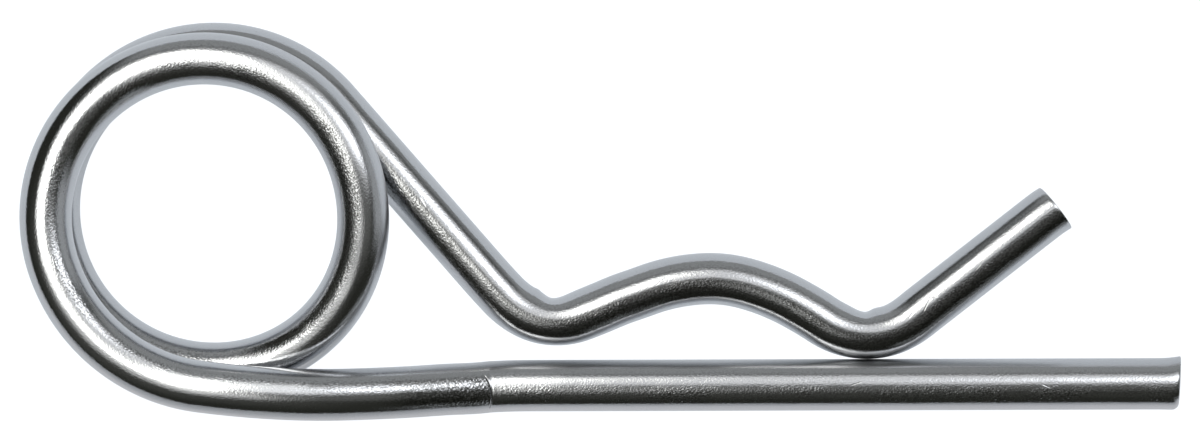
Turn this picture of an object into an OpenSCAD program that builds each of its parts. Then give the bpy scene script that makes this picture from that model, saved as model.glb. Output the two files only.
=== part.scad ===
// Hitch R clip pin: one length of round spring wire, bent cold into a straight leg,
// a coil of more than a turn and a half, and an arm with a saddle that springs against the leg.
// It lies flat, as it comes to rest: +X runs out along the leg, and +Z is up.
// The origin is the centre of the coil's front turn, on the surface that the clip lies on.

/* [Wire] */
// Diameter of the spring wire
wire_d = 4.5; // [3:0.1:6]
// Gap between turns that lie one on the other
turn_gap = 0.1; // [0.05:0.01:0.4]
// Chamfer round the two cut ends
end_break = 0.15; // [0.05:0.05:0.5]

/* [Leg] */
// Straight leg, from its free end to the crease
leg_l = 58.5; // [45:0.1:80]
// Bend radius at the crease
crease_r = 5; // [3:0.5:12]
// Turn at the crease, seen from above
crease_turn = 3.2; // [0.5:0.1:8]
// Straight that climbs from the crease towards the coil
climb_l = 8.4; // [6:0.1:20]

/* [Coil] */
// Radius of the slack bend that leads into the coil
lead_r = 55; // [30:1:80]
// Turn of the lead-in, seen from above
lead_turn = 10.7; // [5:0.1:20]
// Radius where the coil opens, to the wire's centre
open_r = 15.4; // [13.5:0.1:18]
// Turn of the coil's open start
open_turn = 62; // [30:1:80]
// Radius of the front turn, to the wire's centre
front_r = 13.7; // [12:0.1:16]
// How far the front turn stays level
front_turn = 171; // [150:1:185]
// Radius where the wire drops to the back turn
drop_r = 13.5; // [12:0.1:15]
// Turn of each half of the drop, seen from above
drop_turn = 67.5; // [50:0.5:75]
// Radius of the back turn, to the wire's centre
back_r = 14; // [13:0.1:16]

/* [Arm] */
// Slant of the shoulder that comes off the coil
shoulder_slant = 49; // [40:1:60]
// Radius of the neck bend between shoulder and saddle
neck_r = 6.3; // [4:0.1:9]
// Slant of the straight that rises to the saddle
rise_slant = 20.8; // [12:0.1:30]
// Straight between neck and saddle
rise_l = 6; // [2:0.5:12]
// Radius of the saddle that straddles the shaft
saddle_r = 14.7; // [9:0.1:22]
// Slant of the straight that falls from the saddle
fall_slant = 31.2; // [20:0.1:40]
// Straight between saddle and heel
fall_l = 3; // [1:0.5:10]
// Radius of the heel that rests against the leg
heel_r = 7.5; // [4:0.1:10]
// Gap between the heel and the leg
heel_gap = 0.1; // [0.05:0.01:0.5]
// Slant of the tail
tail_slant = 38; // [20:1:50]
// Straight tail, to its cut end
tail_l = 15.2; // [8:0.1:30]

/* [Hidden] */
$fn = 96;
// Rise of the wire's centre from one turn to the turn that lies on it
pitch = wire_d + turn_gap;
// Each bend is drawn one or two hairs slimmer than the straight wire, and laps into what it joins
hair = 0.01;
lap = 0.05;

// Places of the front turn and the heel among the route's steps
FRONT = 3;
HEEL = 9;

// Slope of a ramp that gains this height between two bends which start and end level
climb_slope = ramp_slope(pitch, crease_r, crease_turn, climb_l, lead_r, lead_turn);
drop_slope = ramp_slope(pitch, drop_r, drop_turn, 0, drop_r, drop_turn);

// What is left of the whole coil, once its other bends have turned, falls to the back turn
coil_turn = 540 + shoulder_slant + crease_turn - lead_turn;
back_turn = coil_turn - open_turn - front_turn - 2 * drop_turn;

// The shoulder is as long as brings the heel down onto the leg
unmoved_heel = bends(route(0))[HEEL];
heel_height = centre_of(unmoved_heel).y - heel_r;
shoulder_l = (heel_height - wire_d - heel_gap) / sin(shoulder_slant);

wire = bends(route(shoulder_l));
eye = centre_of(wire[FRONT]);

// The wire from the leg's free end to the tail's. Each step is a straight length, then a bend:
// its turn seen from above, clockwise positive, the slope that it leaves at, and its radius.
function route(shoulder) = [
  [leg_l, -crease_turn, climb_slope, crease_r],
  [climb_l, lead_turn, 0, lead_r],
  [0, open_turn, 0, open_r],
  [0, front_turn, 0, front_r],
  [0, drop_turn, -drop_slope, drop_r],
  [0, drop_turn, 0, drop_r],
  [0, back_turn, 0, back_r],
  [shoulder, -shoulder_slant - rise_slant, 0, neck_r],
  [rise_l, rise_slant + fall_slant, 0, saddle_r],
  [fall_l, -fall_slant - tail_slant, 0, heel_r],
  [tail_l, 0, 0, 0],
];

function direction(heading, slope) = [
  cos(slope) * cos(heading),
  cos(slope) * sin(heading),
  sin(slope),
];

// Angle that the wire really bends through, between a level line and one that slopes
function bend_between(turn, slope) = acos(cos(turn) * cos(slope));

// Height gained by a ramp: a bend up out of the level, a straight, and a bend back into the level
function ramp_height(slope, r_in, turn_in, run, r_out, turn_out) =
  sin(slope) * (r_in * tan(bend_between(turn_in, slope) / 2) + run
    + r_out * tan(bend_between(turn_out, slope) / 2));

// The slope for a height, found by halving the range that holds it
function ramp_slope(height, r_in, turn_in, run, r_out, turn_out, low = 0, high = 60, tries = 40) =
  let (mid = (low + high) / 2, gained = ramp_height(mid, r_in, turn_in, run, r_out, turn_out))
  tries == 0 ? mid
    : gained < height
      ? ramp_slope(height, r_in, turn_in, run, r_out, turn_out, mid, high, tries - 1)
      : ramp_slope(height, r_in, turn_in, run, r_out, turn_out, low, mid, tries - 1);

// Walks the route and gives for each step: where it starts, its direction, where its bend starts,
// the bend's angle and radius, and the direction from there to the bend's centre
function bends(steps, i = 0, start = [0, 0, 0], heading = 180, slope = 0) =
  i == len(steps) ? []
    : let (
        turn = steps[i][1],
        next_slope = steps[i][2],
        radius = steps[i][3],
        ahead = direction(heading, slope),
        after = direction(heading - turn, next_slope),
        corner = start + steps[i][0] * ahead,
        level = slope == 0 && next_slope == 0,
        angle = level ? abs(turn) : acos(ahead * after),
        inward = level
          ? sign(turn) * [sin(heading), -cos(heading), 0]
          : (after - cos(angle) * ahead) / sin(angle),
        end = corner + radius * (sin(angle) * ahead + (1 - cos(angle)) * inward)
      )
      concat([[start, ahead, corner, angle, radius, inward]],
        bends(steps, i + 1, end, heading - turn, next_slope));

function centre_of(bend) = bend[2] + bend[4] * bend[5];

// Sets its children down at a point, with their x and y axes along two square directions
module set_down(point, x_axis, y_axis) {
  z_axis = cross(x_axis, y_axis);
  multmatrix([
    [x_axis.x, y_axis.x, z_axis.x, point.x],
    [x_axis.y, y_axis.y, z_axis.y, point.y],
    [x_axis.z, y_axis.z, z_axis.z, point.z],
  ]) children();
}

// A straight length of wire along +Y, chamfered where it is cut off
module straight(length, start_break, end_break) {
  r = wire_d / 2;
  rotate([-90, 0, 0]) rotate_extrude() polygon([
    [0, 0],
    [r - start_break, 0],
    [r, start_break],
    [r, length - end_break],
    [r - end_break, length],
    [0, length],
  ]);
}

// A bend about the origin, which starts on +X and runs towards +Y
module bend(angle, radius, slimmer) {
  lap_angle = lap / radius * 180 / PI;
  rotate([0, 0, -lap_angle]) rotate_extrude(angle = angle + 2 * lap_angle)
    translate([radius, 0]) circle(d = wire_d - 2 * slimmer);
}

module clip() {
  last = len(wire) - 1;
  color("silver") translate([-eye.x, -eye.y, wire_d / 2])
    for (i = [0:last]) {
      step = wire[i];
      length = norm(step[2] - step[0]);
      if (length > 0)
        set_down(step[0], [step[1].y, -step[1].x, 0] / norm([step[1].x, step[1].y]), step[1])
          straight(length, i == 0 ? end_break : 0, i == last ? end_break : 0);
      if (step[4] > 0)
        set_down(centre_of(step), -step[5], step[1]) bend(step[3], step[4], hair * (1 + i % 2));
    }
}

clip();
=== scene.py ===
# Hitch R clip pin: one length of zinc-plated spring wire, lying flat on a white table.
# A straight bar is modelled first, with its sheared ends and tool marks, and then bent along the route.
import math

import bpy
import numpy as np
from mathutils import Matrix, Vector


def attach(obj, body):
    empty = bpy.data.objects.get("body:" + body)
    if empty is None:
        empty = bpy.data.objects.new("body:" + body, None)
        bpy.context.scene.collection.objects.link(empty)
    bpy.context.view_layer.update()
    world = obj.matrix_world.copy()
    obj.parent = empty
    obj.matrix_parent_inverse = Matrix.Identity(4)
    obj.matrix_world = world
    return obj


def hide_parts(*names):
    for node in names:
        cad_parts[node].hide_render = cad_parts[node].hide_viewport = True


print("frame: loading the packed clip")
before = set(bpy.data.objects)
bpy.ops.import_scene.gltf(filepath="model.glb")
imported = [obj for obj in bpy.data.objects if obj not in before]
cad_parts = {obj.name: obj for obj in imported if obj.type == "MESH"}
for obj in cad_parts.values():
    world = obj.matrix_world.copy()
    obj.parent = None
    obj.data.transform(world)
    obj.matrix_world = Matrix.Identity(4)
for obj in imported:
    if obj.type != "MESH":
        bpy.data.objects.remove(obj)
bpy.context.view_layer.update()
bpy.ops.object.select_all(action="DESELECT")

mm = 0.001


class Value:  # a shader socket: arithmetic on it adds Math nodes, and node() adds any other node
    def __init__(self, tree, socket=None):
        self.tree = tree
        self.socket = socket

    def node(self, kind, settings, inputs, output=0):
        made = self.tree.nodes.new(kind)
        for name, setting in settings.items():
            setattr(made, name, setting)
        for name, value in inputs.items():
            if isinstance(value, Value):
                self.tree.links.new(value.socket, made.inputs[name])
            else:
                made.inputs[name].default_value = value
        return None if output is None else Value(self.tree, made.outputs[output])

    def math(self, operation, *values):
        return self.node("ShaderNodeMath", {"operation": operation}, dict(enumerate(values)))

    def __add__(self, other):
        return self.math("ADD", self, other)

    def __radd__(self, other):
        return self.math("ADD", other, self)

    def __sub__(self, other):
        return self.math("SUBTRACT", self, other)

    def __rsub__(self, other):
        return self.math("SUBTRACT", other, self)

    def __mul__(self, other):
        return self.math("MULTIPLY", self, other)

    def __rmul__(self, other):
        return self.math("MULTIPLY", other, self)

    def __pow__(self, other):
        return self.math("POWER", self, other)

    def __abs__(self):
        return self.math("ABSOLUTE", self)

    def ramp(self, low, high):  # 0 below low, 1 above high, eased between; low may be the higher one
        return self.node(
            "ShaderNodeMapRange",
            {"interpolation_type": "SMOOTHSTEP"},
            {"Value": self, "From Min": low, "From Max": high},
        )

    def vector(self, operation, other):
        return self.node("ShaderNodeVectorMath", {"operation": operation}, {0: self, 1: other})

    def unit(self):
        return self.node("ShaderNodeVectorMath", {"operation": "NORMALIZE"}, {0: self})

    def mix(self, first, second):  # of two colours, with this as the factor
        colours = {"Factor": self, 6: first, 7: second}
        return self.node("ShaderNodeMix", {"data_type": "RGBA"}, colours, 2)

    def split(self):
        return [self.node("ShaderNodeSeparateXYZ", {}, {"Vector": self}, axis) for axis in range(3)]

    def coloured(self, red, green, blue):
        parts = {"X": self * red, "Y": self * green, "Z": self * blue}
        return self.node("ShaderNodeCombineXYZ", {}, parts)


def emptyTree(owner):
    owner.use_nodes = True
    owner.node_tree.nodes.clear()
    return Value(owner.node_tree)


# Camera: straight above the clip, with the view turned a hair against the leg
shot = {
    "over": (34.24, -0.33),  # mm
    "height": 370.0,  # mm above the table
    "width": 105.08,  # mm of the middle of the wire that fill the picture's width
    "turn": -0.17,  # degrees
    "sensor": 36,  # mm
    "nearest": 10,  # mm from the lens that is still seen
}


def addCamera():
    bpy.ops.object.camera_add(
        location=[place * mm for place in (*shot["over"], shot["height"])],
        rotation=(0, 0, math.radians(shot["turn"])),
    )
    camera = bpy.context.object
    toWire = shot["height"] - wire["diameter"] / 2
    camera.data.sensor_width = shot["sensor"]
    camera.data.lens = shot["sensor"] * toWire / shot["width"]
    camera.data.clip_start = shot["nearest"] * mm
    bpy.context.scene.camera = camera


# The wire: sizes in mm and degrees. Each step is a straight, the turn after it seen from above
# (clockwise is positive), whether the wire then climbs, runs level or drops, and the bend's radius.
wire = {
    "diameter": 4.5,
    "turnGap": 0.1,
    "heelGap": 0.0,  # sprung shut
    "slant": 49,  # of the shoulder
    "steps": [
        ("crease", 59.85, -4.14, "climb", 2.5),
        ("lead", 5.67, 11.64, "level", 55),
        ("open", 0, 62, "level", 15.4),
        ("front", 0, 171, "level", 13.7),
        ("dropStart", 0, 67.5, "drop", 13.5),
        ("dropEnd", 0, 67.5, "level", 13.5),
        ("back", 0, 213.5, "level", 14),
        ("neck", "shoulder", -69.8, "level", 6.3),
        ("saddle", 6, 52, "level", 14.7),
        ("heel", 3, -69.2, "level", 7.5),
        ("tail", 15.2, 0, "level", 0),
    ],
    "steepest": 60,  # the steepest slope that is tried for the climb and the drop
    "halvings": 40,  # of the range that holds the slope
    "spacing": 0.05,  # of the points that the route is worked out at
    "guideSpacing": 0.25,  # of the even points that the bar is bent along
    "sides": 56,
    "rings": (100, 15),  # lengths that the bar is cut into, and lengths that each of those is cut into
    "endRings": (3, 0.5),  # on each cut face: how many, and how far apart
    "chamfer": 0.1,
    "chamferCuts": 2,
    "smoothUnder": 40,  # the widest angle between faces that are shaded as one surface
}


def rampSlope(height, radiusIn, turnIn, straight, radiusOut, turnOut):
    low, high = 0, math.radians(wire["steepest"])  # the slope that gains the height, found by halving
    for _ in range(wire["halvings"]):
        slope = (low + high) / 2
        bends = [math.acos(math.cos(math.radians(turn)) * math.cos(slope)) for turn in (turnIn, turnOut)]
        run = radiusIn * math.tan(bends[0] / 2) + straight + radiusOut * math.tan(bends[1] / 2)
        if run * math.sin(slope) < height:
            low = slope
        else:
            high = slope
    return slope


def walkRoute(shoulder):
    steps = {name: rest for name, *rest in wire["steps"]}
    pitch = wire["diameter"] + wire["turnGap"]
    crease, lead, drop = steps["crease"], steps["lead"], steps["dropStart"]
    slopes = {
        "level": 0,
        "climb": rampSlope(pitch, crease[3], crease[1], lead[0], lead[3], lead[1]),
        "drop": -rampSlope(pitch, drop[3], drop[1], 0, drop[3], drop[1]),
    }

    def towards(heading, slope):
        flat = math.cos(slope)
        return Vector((flat * math.cos(heading), flat * math.sin(heading), math.sin(slope)))

    points, centres, spans = [], {}, {}
    place, heading, slope, run = Vector(), math.pi, 0, 0
    for name, straight, turn, after, radius in wire["steps"]:
        if straight == "shoulder":
            straight = shoulder
        ahead = towards(heading, slope)
        cuts = math.ceil(straight / wire["spacing"])
        points += [place + ahead * straight * i / cuts for i in range(cuts)]
        place = place + ahead * straight
        run += straight
        if radius:
            leaving = towards(heading - math.radians(turn), slopes[after])
            if slope == slopes[after] == 0:
                angle = math.radians(abs(turn))
                inward = Vector((math.sin(heading), -math.cos(heading), 0)) * math.copysign(1, turn)
            else:
                angle = ahead.angle(leaving)
                inward = (leaving - math.cos(angle) * ahead) / math.sin(angle)
            heading -= math.radians(turn)
            slope = slopes[after]
            cuts = math.ceil(angle * radius / wire["spacing"])
            turned = [angle * i / cuts for i in range(cuts + 1)]
            arc = [place + radius * (math.sin(a) * ahead + (1 - math.cos(a)) * inward) for a in turned]
            centres[name] = place + radius * inward
            spans[name] = (run, run + angle * radius)
            points += arc[:-1]
            place = arc[-1]
            run += angle * radius
    points.append(place)
    return points, centres, spans, run


def routeOfClip():
    heelRadius = dict((name, radius) for name, *_, radius in wire["steps"])["heel"]
    _, centres, _, _ = walkRoute(0)
    above = centres["heel"].y - heelRadius - wire["diameter"] - wire["heelGap"]
    points, centres, spans, length = walkRoute(above / math.sin(math.radians(wire["slant"])))
    eye = Vector((centres["front"].x, centres["front"].y, -wire["diameter"] / 2))
    points = np.array([point - eye for point in points])
    along = np.insert(np.cumsum(np.linalg.norm(np.diff(points, axis=0), axis=1)), 0, 0)
    even = np.linspace(0, along[-1], round(along[-1] / wire["guideSpacing"]))
    return np.stack([np.interp(even, along, axis) for axis in points.T], 1), spans, length


def selectEdges(piece, wanted):
    bpy.context.tool_settings.mesh_select_mode = (False, True, False)
    bpy.ops.object.mode_set(mode="EDIT")
    bpy.ops.mesh.select_all(action="DESELECT")
    bpy.ops.object.mode_set(mode="OBJECT")
    places = piece.data.vertices
    for edge in piece.data.edges:
        edge.select = wanted(*(places[i].co for i in edge.vertices))
    bpy.ops.object.mode_set(mode="EDIT")


def straightBar(length):
    radius = wire["diameter"] / 2
    bpy.ops.mesh.primitive_cylinder_add(
        vertices=wire["sides"],
        radius=radius * mm,
        depth=length * mm,
        location=(length / 2 * mm, 0, 0),
        rotation=(0, math.pi / 2, 0),
    )
    bar = bpy.context.object
    bar.name = "clipWire"
    bpy.ops.object.transform_apply(location=True, rotation=True, scale=True)

    selectEdges(bar, lambda a, b: abs(a.x - b.x) < length / 2 * mm)  # the rims of both cut faces
    bpy.ops.mesh.bevel(offset=wire["chamfer"] * mm, segments=wire["chamferCuts"], affect="EDGES")
    bpy.ops.object.mode_set(mode="OBJECT")

    shortest = length
    for parts in wire["rings"]:
        selectEdges(bar, lambda a, b: abs(a.x - b.x) > shortest / 2 * mm)
        bpy.ops.mesh.subdivide(number_cuts=parts - 1)
        bpy.ops.object.mode_set(mode="OBJECT")
        shortest /= parts

    for face in bar.data.polygons:  # the cut faces
        face.select = len(face.vertices) == wire["sides"]
    bpy.context.tool_settings.mesh_select_mode = (False, False, True)
    bpy.ops.object.mode_set(mode="EDIT")
    endRings, apart = wire["endRings"]
    for _ in range(endRings):
        bpy.ops.mesh.inset(thickness=apart * mm)
    bpy.ops.object.mode_set(mode="OBJECT")
    return bar


# What bending and shearing did to the wire, in mm. Places are along the wire, from the middle of a bend.
# Seen along the wire from the leg's end, left is the inner side of the neck and of the heel.
forming = {
    "pinches": [  # bend, place, depth, reach before, reach after: a depth below 0 stands proud
        ("neck", -1.1, -0.07, 0.5, 0.45),
        ("neck", 0.95, 0.36, 1.15, 1.8),
        ("heel", -0.6, 0.37, 1.6, 0.85),
        ("heel", 1.5, 0.09, 0.9, 1.6),
    ],
    "sways": [  # bend, place, shift to the left, reach
        ("neck", -2.7, 0.08, 1.9),
        ("neck", 7.4, 0.07, 1.6),
        ("saddle", 0.1, 0.08, 2.6),
        ("heel", -5.8, 0.12, 2.6),
        ("crease", 1.0, 0.11, 2.2),
        ("crease", 10.0, -0.085, 4.8),
    ],
    "tailSet": (0.5, 5, 0.16, 0.1),  # past the heel: from, full, shift to the left, shift at the end
    "legEnd": {
        "longer": 0.14,
        "cutBack": (0.12, 0.22),  # of the left side and of the top
        "cutReach": 3,
        "swell": (0.05, 2.5),  # both sides, and how far in it reaches
        "flare": (0.13, 1.6),  # of the right side
        "round": (0.36, 0.5),  # of the left side
        "roll": (0.14, 0.9),  # of the top
    },
    "tailFlare": (0.1, 1.5),
    "creaseStep": (0.03, 0.1, 0.3, 5),  # drop of the top, its place, its length, and how far it fades over
}


def formWire(bar, spans, length):
    radius = wire["diameter"] / 2
    spots = np.empty(len(bar.data.vertices) * 3)
    bar.data.vertices.foreach_get("co", spots)
    spots = spots.reshape(-1, 3) / mm
    along, left, up = spots.T.copy()

    # the places on the straight bar, in mm, are kept for the finish
    kept = bar.data.attributes.new("alongWire", "FLOAT_VECTOR", "POINT")
    kept.data.foreach_set("vector", spots.ravel())

    def past(bend, place):
        return along - (sum(spans[bend]) / 2 + place)

    for bend, place, depth, before, after in forming["pinches"]:
        gone = past(bend, place)
        reach = np.where(gone < 0, before, after)
        left -= depth * np.exp(-((gone / reach) ** 2)) * np.clip(left / radius, 0, 1) ** 3
    for bend, place, shift, reach in forming["sways"]:
        left += shift * np.exp(-((past(bend, place) / reach) ** 2))
    begins, full, shift, lastShift = forming["tailSet"]
    eased = np.clip(past("heel", begins) / (full - begins), 0, 1)
    left += eased**2 * (3 - 2 * eased) * np.interp(along, (spans["heel"][1], length), (shift, lastShift))
    drop, place, reach, fade = forming["creaseStep"]
    gone = past("crease", place)
    step = np.clip(gone / reach + 0.5, 0, 1) * np.exp(-np.clip(gone / fade, 0, None))
    up -= drop * step * (up > 0) * up / radius

    def fading(gone, reach):
        return np.clip(1 - gone / reach, 0, 1) ** 2

    end = forming["legEnd"]
    toLeft, toRight, toTop = [np.clip(side / radius, 0, 1) ** 2 for side in (left, -left, up)]
    left += end["swell"][0] * fading(along, end["swell"][1]) * left / radius
    left -= end["flare"][0] * fading(along, end["flare"][1]) * toRight
    left -= end["round"][0] * fading(along, end["round"][1]) * toLeft
    up -= end["roll"][0] * fading(along, end["roll"][1]) * toTop
    cut = end["cutBack"][0] * left / radius + end["cutBack"][1] * up / radius - end["longer"]
    along += cut * np.clip(1 - along / end["cutReach"], 0, 1)
    left -= forming["tailFlare"][0] * fading(length - along, forming["tailFlare"][1])

    bar.data.vertices.foreach_set("co", (np.stack([along, left, up], 1) * mm).ravel())
    bar.data.update()


def bendAlong(bar, points):
    route = bpy.data.curves.new("route", "CURVE")
    route.dimensions = "3D"
    route.twist_mode = "Z_UP"
    line = route.splines.new("POLY")
    line.points.add(len(points) - 1)
    for spot, point in zip(line.points, points):
        spot.co = (*(point * mm), 1)
    guide = bpy.data.objects.new("route", route)
    bpy.context.collection.objects.link(guide)
    bending = bar.modifiers.new("bend", "CURVE")
    bending.object = guide
    bending.deform_axis = "POS_X"
    bpy.context.view_layer.objects.active = bar
    bpy.ops.object.modifier_apply(modifier="bend")
    bpy.data.objects.remove(guide)


def buildClip():
    print("clip: finding the route")
    points, spans, length = routeOfClip()
    print(f"clip: straight bar of {length:.1f} mm")
    bar = straightBar(length)
    print("clip: tool marks, then bending")
    formWire(bar, spans, length)
    bendAlong(bar, points)
    bpy.ops.object.select_all(action="DESELECT")
    bar.select_set(True)
    bpy.ops.object.shade_smooth_by_angle(angle=math.radians(wire["smoothUnder"]))
    bpy.ops.object.select_all(action="DESELECT")
    return bar, spans


# Bright zinc over drawn steel. Places are in mm on the straight bar, where left is as seen along it from the
# leg's end. Heights are in thousandths of a mm. A stretch along the wire is from, full, last full and gone.
zinc = {
    "bright": (0.555, 0.562, 0.575, 1),
    # a brighter metal colour, painted where the window's highlight falls
    "paintedHighlightColour": (0.86, 0.87, 0.885, 1),
    "dull": (0.16, 0.162, 0.158, 1),
    # near-black painted shade, for the tool's groove and where the heel touches the leg
    "paintedShadeColour": (0.03, 0.03, 0.028, 1),
    "smooth": 0.09,
    "rough": 0.15,
    "drawnRough": 0.3,  # share of the roughness that follows the drawn lines
    "noises": {  # features per mm, how much of that along and across the wire, detail
        "wave": (0.3, 1, 1, 1),
        "drawn": (7, 0.05, 1, 2),
        "peel": (7, 0.8, 1, 1.2),
        "patches": (0.8, 0.25, 0.6, 3),
        "flecks": (7.2, 0.7, 1, 1),
        "chatter": (4.6, 1, 0.7, 1),
        "sparkle": (5.6, 1, 1, 1),
    },
    "shows": {  # where in the noise a thing starts and is full
        "patches": (0.42, 0.62),
        "flecks": (0.51, 0.57),
        "sparkle": (0.49, 0.58),
    },
    "heights": {
        "wave": 28,
        "drawn": 3,
        "smoothPeel": 7,
        "grainPeel": 36,
        "pits": 8,
        "chatter": 66,
        "mark": 50,
    },
    # the plating is rougher on one side: left on the leg, and right beyond it
    "legEnds": (12, 2),  # past the crease: where the sides have changed over, and where they begin to
    "grainFrom": (-0.1, 0.4),  # where the rough side begins and is full
    "grainTo": (1.5, 1.05),  # from the middle, where it is gone and still full
    "leastGrain": (0.2, 0.35),  # on the smooth side, and outside the patches
    "lowCoil": (72, 79, 90, 110),  # where the rough side keeps further in
    "lowCoilShift": 0.75,  # how far in that is
    "flecksShown": (0.7, 0.04),  # in full grain, and everywhere
    "pits": (1.1, 0.08, 0.5),  # per mm, radius, how dull
    "streak": (228, 236, -0.2, -0.04),  # on the arm: from, full, the rough side's edge, and inside it
    "streakDull": (0.377, 0.406),  # everywhere in the streak, and more along the drawn lines
    "satin": (127, 138, 152, 158),  # on the coil's far side
    "satinSide": (-0.3, 0.4),  # towards the rough side: from and full
    "satinDull": 0.45,
    "satinRough": 0.07,
    "rims": (1.3, 1.85, 0.13),  # from the middle: where they start and are full, how much rougher they are
    "rubbed": (-1.2, -1.7, 0.1),  # side of the leg that the arm slides along: edge, full, how much rougher
    "dullTo": (1.65, 1.4),  # from the middle, where dullness is gone and still full
    "paintedHighlights": [  # bend, and the stretch of a painted highlight (a brighter metal colour), from the bend's middle
        ("crease", -8, -4, 0.3, 0.45),
        ("open", -19, -16, -7, -2),
        ("dropStart", 2.5, 6, 11, 15),
    ],
    "paintedHighlightAcross": (-1.35, -0.9, 0.2, 0.65),  # left: from, full, last full and gone
    "paintedHighlightShown": 0.65,
    "onTop": (0.2, 0.9),  # height over the wire's middle where tool marks begin and are full
    "mark": (0.46, 0.9, 0.12, 0.1),  # the tool's line: place after the crease, left, bow, half width
    "markAcross": (-1.25, -0.85, 1.6, 1.95),  # left: from, full, last full and gone
    "markPaintedShade": (0.9, 0.4, 1.2),  # painted shade in the line's groove: left where it begins and is full, and its width to the line's
    "chatterTo": 7,  # past the line, where it has faded out
    "chatterDull": (6.3, 10.15, 0.72, 0.12),  # past the line: last full and gone, how dull, and in a sparkle
    "chatterSide": (-1.25, -0.7),  # left: where its dullness begins and is full
    "contactShade": [  # painted shade where the heel sits on the leg: bend, place, half length, side's edge and inside
        ("crease", -32.8, 1.3, -1.7, -2.15),
        ("heel", 0.3, 2.6, -1.55, -2.1),
    ],
    "contactShadeDark": (0.25, 0.35),  # everywhere in it, and more in patches
    "contactShadeFull": 0.2,  # share of the half length over which it is full
    "nicks": [  # bend, place, left, half length, half width, turn in degrees, depth
        ("heel", 3.8, 0.42, 0.45, 0.1, 20, 16),
        ("heel", 5.5, 0.3, 0.9, 0.08, 28, 20),
        ("heel", 6.3, 0.5, 0.5, 0.07, -35, 14),
        ("heel", 11.0, 0.1, 0.5, 0.06, 12, 10),
        ("neck", -14.5, 0.2, 0.7, 0.07, -14, 11),
        ("saddle", -5.2, 0.45, 0.6, 0.06, 25, 10),
        ("crease", -32.0, -0.2, 0.8, 0.07, 18, 11),
        ("crease", -48.5, 0.1, 0.6, 0.06, -24, 10),
    ],
    "nickFull": 0.3,  # share of the half length over which it is full
}


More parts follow.
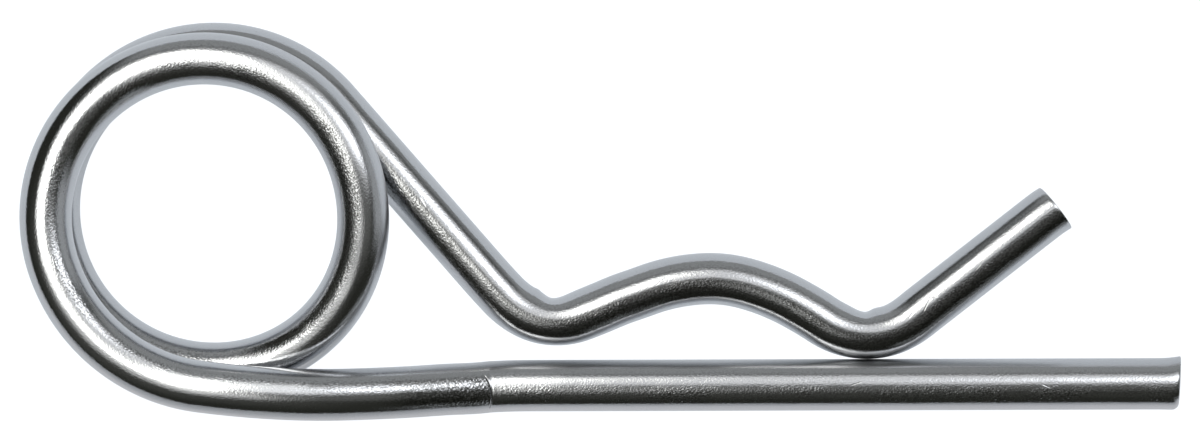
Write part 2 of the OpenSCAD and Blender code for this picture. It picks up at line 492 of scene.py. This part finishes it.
def zincFinish(spans):
    material = bpy.data.materials.new("zincPlate")
    tree = emptyTree(material)
    place = tree.node("ShaderNodeAttribute", {"attribute_name": "alongWire"}, {}, "Vector")
    along, left, up = place.split()
    heights = zinc["heights"]

    def noise(name):
        perMm, lengthwise, crosswise, detail = zinc["noises"][name]
        spot = place.vector("MULTIPLY", (lengthwise, crosswise, crosswise))
        found = tree.node("ShaderNodeTexNoise", {}, {"Vector": spot, "Scale": perMm, "Detail": detail})
        return found.ramp(*zinc["shows"][name]) if name in zinc["shows"] else found

    def past(bend):
        return along - sum(spans[bend]) / 2

    def within(value, rising, full, lastFull, gone):
        return value.ramp(rising, full) * value.ramp(gone, lastFull)

    def atLeast(value, least):
        return value * (1 - least) + least

    # the plating's grain
    patches, flecks, drawn = noise("patches"), noise("flecks"), noise("drawn")
    onLeg = past("crease").ramp(*zinc["legEnds"])
    roughSide = left * (onLeg * 2 - 1) - within(along, *zinc["lowCoil"]) * zinc["lowCoilShift"]
    offRims = abs(left).ramp(*zinc["grainTo"])
    smoothLeast, outsideLeast = zinc["leastGrain"]
    grain = atLeast(roughSide.ramp(*zinc["grainFrom"]), smoothLeast) * atLeast(patches, outsideLeast)
    grain = grain * offRims
    pitsPerMm, pitRadius, pitDull = zinc["pits"]
    pits = tree.node("ShaderNodeTexVoronoi", {}, {"Vector": place, "Scale": pitsPerMm}, "Distance")
    pits = pits.ramp(pitRadius * pitsPerMm, 0)
    peelHeight = heights["smoothPeel"] + grain * (heights["grainPeel"] - heights["smoothPeel"])
    height = noise("wave") * heights["wave"] + drawn * heights["drawn"] + noise("peel") * peelHeight
    height = height - pits * heights["pits"]

    # the tool's line across the leg, with painted shade in its groove on the upper half, and the chatter
    # past it
    markPlace, markLeft, bow, halfWidth = zinc["mark"]
    line = past("crease") - markPlace - (left - markLeft) ** 2 * bow
    onTop = up.ramp(*zinc["onTop"])
    marked = onTop * within(left, *zinc["markAcross"])
    chatter = (noise("chatter") - 0.5) * within(line, 0, halfWidth, 0, zinc["chatterTo"]) * offRims
    height = height + chatter * heights["chatter"] - abs(line).ramp(halfWidth, 0) * marked * heights["mark"]
    # painted shade: the groove on the upper half is darkened towards near-black
    shadeEdge, shadeFull, shadeWidth = zinc["markPaintedShade"]
    paintedShade = abs(line).ramp(halfWidth * shadeWidth, 0) * marked * left.ramp(shadeEdge, shadeFull)

    # painted shade where the heel touches the leg, varied by the patches
    contactShadeLeast, contactShadePatches = zinc["contactShadeDark"]
    for bend, away, halfLength, edge, inside in zinc["contactShade"]:
        contactShade = abs(past(bend) - away).ramp(halfLength, halfLength * zinc["contactShadeFull"])
        contactShade = contactShade * left.ramp(edge, inside)
        paintedShade = paintedShade + contactShade * (patches * contactShadePatches + contactShadeLeast)

    for bend, away, side, halfLength, halfWide, turn, depth in zinc["nicks"]:
        cos, sin = math.cos(math.radians(turn)), math.sin(math.radians(turn))
        run = (past(bend) - away) * cos + (left - side) * sin  # along the nick, and off to its side
        off = (left - side) * cos - (past(bend) - away) * sin
        nick = abs(run).ramp(halfLength, halfLength * zinc["nickFull"]) * abs(off).ramp(halfWide, 0) * onTop
        height = height - nick * depth

    # where it is rougher or duller, and where a highlight is painted brighter
    satin = within(along, *zinc["satin"])
    rubbedFrom, rubbedFull, rubbedRough = zinc["rubbed"]
    rimFrom, rimFull, rimRough = zinc["rims"]
    grainRough = grain * (1 - zinc["drawnRough"]) + drawn * zinc["drawnRough"]
    roughness = zinc["smooth"] + (zinc["rough"] - zinc["smooth"]) * grainRough
    roughness = roughness + onLeg * left.ramp(rubbedFrom, rubbedFull) * rubbedRough
    roughness = roughness + satin * zinc["satinRough"] + abs(left).ramp(rimFrom, rimFull) * rimRough

    chatterFull, chatterGone, chatterDull, sparkleDull = zinc["chatterDull"]
    dulled = within(line, 0, halfWidth, chatterFull, chatterGone) * left.ramp(*zinc["chatterSide"])
    dulled = dulled * (chatterDull - noise("sparkle") * (chatterDull - sparkleDull))
    streakFrom, streakFull, streakEdge, streakInside = zinc["streak"]
    streak = along.ramp(streakFrom, streakFull) * roughSide.ramp(streakEdge, streakInside)
    streakLeast, streakDrawn = zinc["streakDull"]
    dulled = dulled + streak * (drawn * streakDrawn + streakLeast)
    dulled = dulled + satin * roughSide.ramp(*zinc["satinSide"]) * zinc["satinDull"]
    flecksInGrain, flecksAnywhere = zinc["flecksShown"]
    worn = flecks * (grain * flecksInGrain + flecksAnywhere) + pits * pitDull
    worn = worn + dulled * abs(left).ramp(*zinc["dullTo"])
    # painted highlight: a brighter metal colour on stretches of the crease, the coil's bottom and the drop,
    # on the side of the wire where the window's reflection falls
    paintedHighlightAlong = sum(within(past(bend), *stretch) for bend, *stretch in zinc["paintedHighlights"])
    paintedHighlights = paintedHighlightAlong * within(left, *zinc["paintedHighlightAcross"]) * zinc["paintedHighlightShown"]

    colour = worn.mix(paintedHighlights.mix(zinc["bright"], zinc["paintedHighlightColour"]), zinc["dull"])
    # painted shade mixed into the metal's colour
    colour = paintedShade.mix(colour, zinc["paintedShadeColour"])
    bump = tree.node("ShaderNodeBump", {}, {"Strength": 1.0, "Distance": mm / 1000, "Height": height})
    surface = tree.node(
        "ShaderNodeBsdfPrincipled",
        {},
        {"Base Color": colour, "Metallic": 1.0, "Roughness": roughness, "Normal": bump},
    )
    tree.node("ShaderNodeOutputMaterial", {}, {"Surface": surface}, None)
    return material


# The table: white, and seen as white by the camera; the clip still darkens it a little where it lies
table = {
    "size": 3.0,  # m
    "colour": (0.7, 0.73, 0.78, 1),
    "brightness": 1.2,  # where it is seen as white
    "whiteToCamera": 0.88,
    "whiteInMetal": (0.05, 0.4),  # in front of the leg, and from there on
    "front": (-37, -23),  # mm
    "bluerFrom": (-22, -13),  # mm
    "white": (0.955, 0.98, 1, 1),
    "tintsInMetal": [(0.97, 0.955, 0.975, 1), (0.9, 0.957, 1.02, 1)],  # in front, and behind
}


def addTable():
    bpy.ops.mesh.primitive_plane_add(size=table["size"])
    top = bpy.context.object
    top.name = "tableTop"
    material = bpy.data.materials.new("whiteTable")
    tree = emptyTree(material)
    camera = tree.node("ShaderNodeLightPath", {}, {}, "Is Camera Ray")
    glossy = tree.node("ShaderNodeLightPath", {}, {}, "Is Glossy Ray")
    y = tree.node("ShaderNodeNewGeometry", {}, {}, "Position").split()[1]
    behind = y.ramp(*(place * mm for place in table["front"]))
    bluer = y.ramp(*(place * mm for place in table["bluerFrom"]))
    front, back = table["whiteInMetal"]
    tint = glossy.mix(table["white"], bluer.mix(*table["tintsInMetal"]))
    white = tree.node("ShaderNodeEmission", {}, {"Color": tint, "Strength": table["brightness"]})
    matt = tree.node("ShaderNodeBsdfDiffuse", {}, {"Color": table["colour"]})
    share = camera * table["whiteToCamera"] + glossy * (front + behind * (back - front))
    seen = tree.node("ShaderNodeMixShader", {}, {0: share, 1: matt, 2: white})
    tree.node("ShaderNodeOutputMaterial", {}, {"Surface": seen}, None)
    top.data.materials.append(material)


# The studio round the clip, laid out as a mirror ball seen from above would show it: each patch has
# its middle, half its width and height, its turn in degrees, its soft edge, its brightness and its tint.
studio = {
    "roofHeight": 0.42,  # m
    "roofSize": 0.9,  # m
    "background": (1, 1, 1, 1),  # as the camera sees it
    "room": (0.03, 0.031, 0.026),
    "patches": [
        ("window", (-0.157, 0.1), (0.117, 0.21), -12, 0.17, 4.0, (1.0, 0.995, 0.965)),
        ("sill", (-0.17, -0.14), (0.17, 0.11), -15, 0.2, 0.8, (1.0, 1.0, 0.98)),
        ("second window", (0.235, 0.17), (0.14, 0.095), 0, 0.16, 3.0, (0.975, 0.99, 1.02)),
        ("light on the ceiling", (0.04, 0.185), (0.31, 0.18), 0, 0.21, 1.0, (0.99, 1.0, 1.01)),
        ("its fringe", (0.06, -0.05), (0.26, 0.19), 0, 0.26, 0.12, (1.0, 1.0, 0.98)),
        ("glow", (-0.2, -0.22), (0.3, 0.26), 0, 0.3, 0.045, (1.0, 1.0, 0.95)),
        ("ceiling", (0.14, 0.62), (0.46, 0.22), 0, 0.2, 0.33, (0.97, 1.0, 1.02)),
        ("wall", (0.62, 0.07), (0.17, 0.27), 0, 0.2, 0.42, (0.955, 0.99, 1.03)),
        ("far wall", (0.4, -0.6), (0.17, 0.1), 20, 0.1, 0.3, (0.95, 1.0, 1.04)),
    ],
}


def studioGlow(towards):
    x, y, _ = towards.unit().vector("ADD", (0, 0, 1)).unit().split()
    glow = None
    for _, middle, half, turn, edge, strength, tint in studio["patches"]:
        cos, sin = math.cos(math.radians(turn)), math.sin(math.radians(turn))
        right, up = x - middle[0], y - middle[1]
        wide = abs(right * cos + up * sin).ramp(half[0] + edge / 2, half[0] - edge / 2)
        high = abs(up * cos - right * sin).ramp(half[1] + edge / 2, half[1] - edge / 2)
        patch = (wide * high * strength).coloured(*tint)
        glow = glow.vector("MAXIMUM", patch) if glow else patch
    return glow.vector("ADD", studio["room"])


def lightStudio():
    world = bpy.data.worlds.new("studio")
    bpy.context.scene.world = world
    tree = emptyTree(world)
    glow = studioGlow(tree.node("ShaderNodeTexCoord", {}, {}, "Generated"))
    camera = tree.node("ShaderNodeLightPath", {}, {}, "Is Camera Ray")
    shown = tree.node("ShaderNodeBackground", {}, {"Color": camera.mix(glow, studio["background"])})
    tree.node("ShaderNodeOutputWorld", {}, {"Surface": shown}, None)

    # the tent's roof hangs close, so its lights shift a little from one end of the clip to the other
    middle = (*(place * mm for place in shot["over"]), 0)
    bpy.ops.mesh.primitive_plane_add(size=studio["roofSize"], location=(*middle[:2], studio["roofHeight"]))
    roof = bpy.context.object
    roof.name = "tentRoof"
    roof.visible_camera = False
    material = bpy.data.materials.new("tentRoof")
    tree = emptyTree(material)
    spot = tree.node("ShaderNodeNewGeometry", {}, {}, "Position")
    lit = tree.node("ShaderNodeEmission", {}, {"Color": studioGlow(spot.vector("SUBTRACT", middle))})
    tree.node("ShaderNodeOutputMaterial", {}, {"Surface": lit}, None)
    roof.data.materials.append(material)


addCamera()
clip, spans = buildClip()
print("clip: zinc finish")
clip.data.materials.clear()
clip.data.materials.append(zincFinish(spans))
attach(clip, "root")
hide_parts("clip")

print("studio: table and light")
addTable()
lightStudio()
bpy.context.scene.view_settings.view_transform = "Standard"
